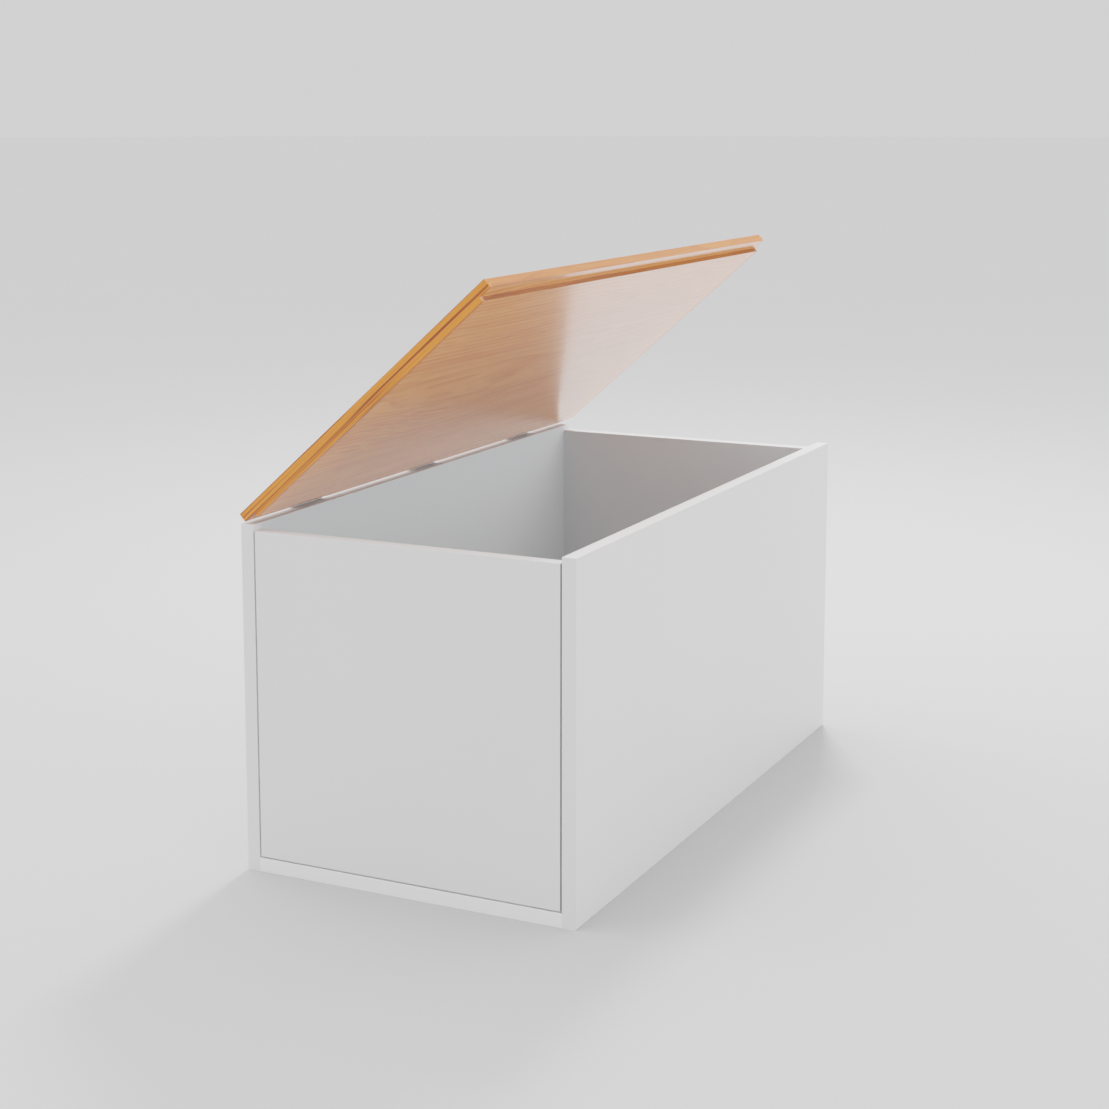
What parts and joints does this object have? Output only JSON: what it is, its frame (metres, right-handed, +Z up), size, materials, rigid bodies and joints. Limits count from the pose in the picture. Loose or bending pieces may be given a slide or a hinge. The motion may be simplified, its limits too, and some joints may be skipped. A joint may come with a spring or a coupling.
{
  "type": "storage bench",
  "caption": "White lacquered storage bench: a plain box on the floor whose oak lid is the seat and swings up on hinges at the back.",
  "frame": {"origin": "centre of the footprint of the box, on the floor", "axes": "+X along the bench, +Y towards the hinged long side, +Z up; the lid is stored 41.6 degrees open"},
  "size_m": [0.91, 0.4625, 0.7644],
  "materials": {
    "white_lacquer": "satin white lacquer on fibreboard",
    "oak": "gloss clear lacquer, grain along the bench",
    "oak_lipping": "gloss clear lacquer, grain across the bench",
    "beech": "raw, fluted",
    "hinge_steel": "satin nickel plate",
    "pin_steel": "ground steel",
    "screw_steel": "bright zinc plate"
  },
  "bodies": {
    "carcass": {"back_bottom_dowels": "beech", "back_left_dowels": "beech", "back_panel": "white_lacquer", "back_right_dowels": "beech", "bottom_panel": "white_lacquer", "front_bottom_dowels": "beech", "front_left_dowels": "beech", "front_panel": "white_lacquer", "front_right_dowels": "beech", "left_bottom_dowels": "beech", "left_end_panel": "white_lacquer", "left_hinge_fixed_leaf": "hinge_steel", "left_hinge_panel_screws": "screw_steel", "left_hinge_pin": "pin_steel", "middle_hinge_fixed_leaf": "hinge_steel", "middle_hinge_panel_screws": "screw_steel", "middle_hinge_pin": "pin_steel", "right_bottom_dowels": "beech", "right_end_panel": "white_lacquer", "right_hinge_fixed_leaf": "hinge_steel", "right_hinge_panel_screws": "screw_steel", "right_hinge_pin": "pin_steel"},
    "lid": {"left_hinge_friction_sleeves": "pin_steel", "left_hinge_lid_screws": "screw_steel", "left_hinge_moving_leaf": "hinge_steel", "lid_board": "oak", "lid_left_lipping": "oak_lipping", "lid_right_lipping": "oak_lipping", "middle_hinge_friction_sleeves": "pin_steel", "middle_hinge_lid_screws": "screw_steel", "middle_hinge_moving_leaf": "hinge_steel", "right_hinge_friction_sleeves": "pin_steel", "right_hinge_lid_screws": "screw_steel", "right_hinge_moving_leaf": "hinge_steel"}
  },
  "joints": [
    {"name": "lid_hinge", "type": "hinge", "parent": "carcass", "child": "lid", "pos_m": [0, 0.23, 0.4575], "axis": [-1, 0, 0], "range_deg": [-41.6, 53.4]}
  ]
}
